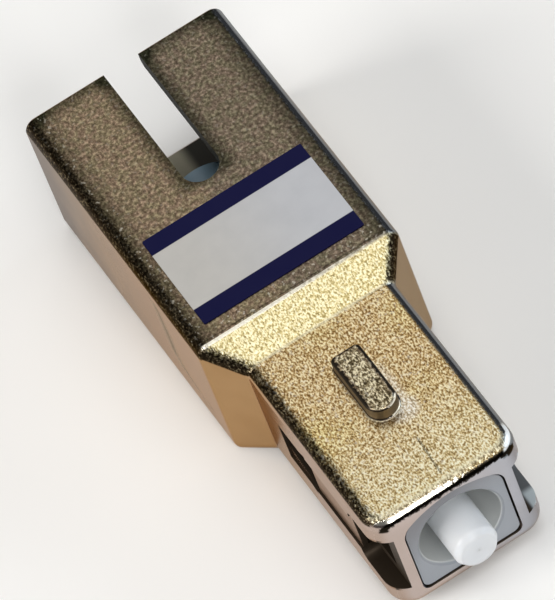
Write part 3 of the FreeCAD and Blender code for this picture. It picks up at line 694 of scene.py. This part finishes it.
coilLook = {
    "wire": 0.4 * mm,
    "mean": 3.9 * mm,
    "turns": 5,
    "closed": 0.75,            # turns at each end that lie against their neighbour
    "stepsPerTurn": 48,
    "stepsRound": 12,
    "keep": 0.796,             # share of its length left when the ferrule is pushed in
}


def springCoil(look):
    # a circle carried along a helix that climbs evenly but for its flat turns at both ends
    low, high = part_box("spring")
    middle = (low + high) / 2
    steps = int(look["turns"] * look["stepsPerTurn"])
    share = np.linspace(0, 1, steps + 1)
    closed = look["closed"] / look["turns"]
    rise = np.clip((share - closed) / (1 - 2 * closed), 0, 1)
    start, end = low.x + look["wire"] / 2, high.x - look["wire"] / 2
    x = start + (end - start) * rise
    angle = 2 * np.pi * look["turns"] * share
    radius = look["mean"] / 2
    outward = np.stack([np.zeros_like(angle), np.cos(angle), np.sin(angle)], axis=1)
    centre = np.stack([x, middle.y + radius * np.cos(angle), middle.z + radius * np.sin(angle)], axis=1)
    axis = np.array([1.0, 0.0, 0.0])
    turn = np.linspace(0, 2 * np.pi, look["stepsRound"], endpoint=False)
    ring = outward[:, None, :] * np.cos(turn)[None, :, None] + axis * np.sin(turn)[None, :, None]
    points = (centre[:, None, :] + ring * look["wire"] / 2).reshape(-1, 3)
    rows, columns = steps + 1, look["stepsRound"]
    index = np.arange(rows * columns).reshape(rows, columns)
    faces = np.stack([index[:-1], np.roll(index[:-1], -1, 1), np.roll(index[1:], -1, 1), index[1:]], axis=-1)
    faces = faces.reshape(-1, 4).tolist() + [index[0, ::-1].tolist(), index[-1].tolist()]
    piece = meshPiece("spring_coil", points, faces)
    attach(piece, "core")
    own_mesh(piece)
    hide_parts("spring")
    return piece


dress(platingFinish(platingLook), "housing")
dress(labelFinish(labelLook), "label")
dress(plasticFinish("framePlastic", plasticLook), "plug_frame")
dress(plasticFinish("innerPlastic", innerPlasticLook), "hook_holder", "sleeve_housing")
dress(zirconiaFinish(zirconiaLook), "ferrule", "split_sleeve")
dress(fibreFinish(fibreLook), "attenuating_fibre")
dress(brightMetalFinish("collarMetal", collarLook), "ferrule_collar")
coil = springCoil(coilLook)
coil.data.materials.append(brightMetalFinish("springSteel", wireLook))
print("finishes set")


cameraLook = {
    "place": (275.71 * mm, -60.71 * mm, 364.52 * mm),
    "aim": (-2.44 * mm, -0.34 * mm, 4.55 * mm),
    "roll": -22.37,
    "lens": 531.3,
    "sensor": 36.0,
    "clip": (0.01, 20.0),
}


def photoCamera(look):
    data = bpy.data.cameras.new("camera")
    data.lens = look["lens"]
    data.sensor_width = look["sensor"]
    data.clip_start, data.clip_end = look["clip"]
    camera = bpy.data.objects.new("camera", data)
    bpy.context.scene.collection.objects.link(camera)
    sight = Vector(look["aim"]) - Vector(look["place"])
    camera.location = look["place"]
    camera.rotation_mode = "QUATERNION"
    roll = Quaternion((0, 0, 1), math.radians(look["roll"]))
    camera.rotation_quaternion = sight.to_track_quat("-Z", "Y") @ roll
    bpy.context.scene.camera = camera


studioLook = {
    "floorColour": tint(250, 250, 249),
    "floorCloud": tint(243, 243, 242),
    "floorClouds": 40,         # per metre
    "floorHalf": 3,
    "world": (0.12, 0.12, 0.125, 1.0),
    "aim": (0, 0, 0.005),
    "lights": {
        "sheet": {"place": (0.30, 0.13, 0.80), "size": (0.50, 1.20),
                  "power": 2.45, "colour": (1.0, 0.98, 0.95)},
        "behind": {"place": (-0.41, 0.15, 0.55), "size": (0.50, 0.50),
                   "power": 0.75, "colour": (1.0, 0.98, 0.94)},
        "fill": {"place": (-0.04, -0.64, 0.375), "size": (0.40, 0.40),
                 "power": 3.5, "colour": (1.0, 0.97, 0.93)},
        "window": {"place": (0.10, 0.58, 0.28), "size": (0.50, 0.28),
                   "power": 1.2, "colour": (0.88, 0.95, 1.0)},
        "front": {"place": (0.64, -0.04, 0.48), "size": (0.25, 0.25),
                  "power": 2.0, "colour": (1.0, 0.99, 0.98)},
    },
}


def softbox(name, look, aim):
    data = bpy.data.lights.new(name, "AREA")
    data.shape = "RECTANGLE"
    data.size, data.size_y = look["size"]
    data.energy = look["power"]
    data.color = look["colour"]
    light = bpy.data.objects.new(name, data)
    bpy.context.scene.collection.objects.link(light)
    light.visible_camera = False
    light.location = look["place"]
    light.rotation_mode = "QUATERNION"
    light.rotation_quaternion = (Vector(aim) - light.location).to_track_quat("-Z", "Y")


def studio(look):
    half = look["floorHalf"]
    corners = np.array([(-half, -half, 0), (half, -half, 0), (half, half, 0), (-half, half, 0)], float)
    floor = meshPiece("floor", corners, [(0, 1, 2, 3)], smooth=False)
    paper = Finish("paleFloor", Roughness=0.9, Specular_IOR_Level=0.1)
    cloud = paper.noise(paper.place(), look["floorClouds"], detail=2.0)
    colour = paper.mix(cloud, look["floorCloud"], look["floorColour"])
    floor.data.materials.append(paper.set(Base_Color=colour))
    world = bpy.data.worlds.new("studio")
    world.use_nodes = True
    world.node_tree.nodes["Background"].inputs["Color"].default_value = look["world"]
    bpy.context.scene.world = world
    for name, light in look["lights"].items():
        softbox(name, light, look["aim"])
    bpy.context.scene.view_settings.view_transform = "Standard"


photoCamera(cameraLook)
studio(studioLook)
print("camera and studio set")
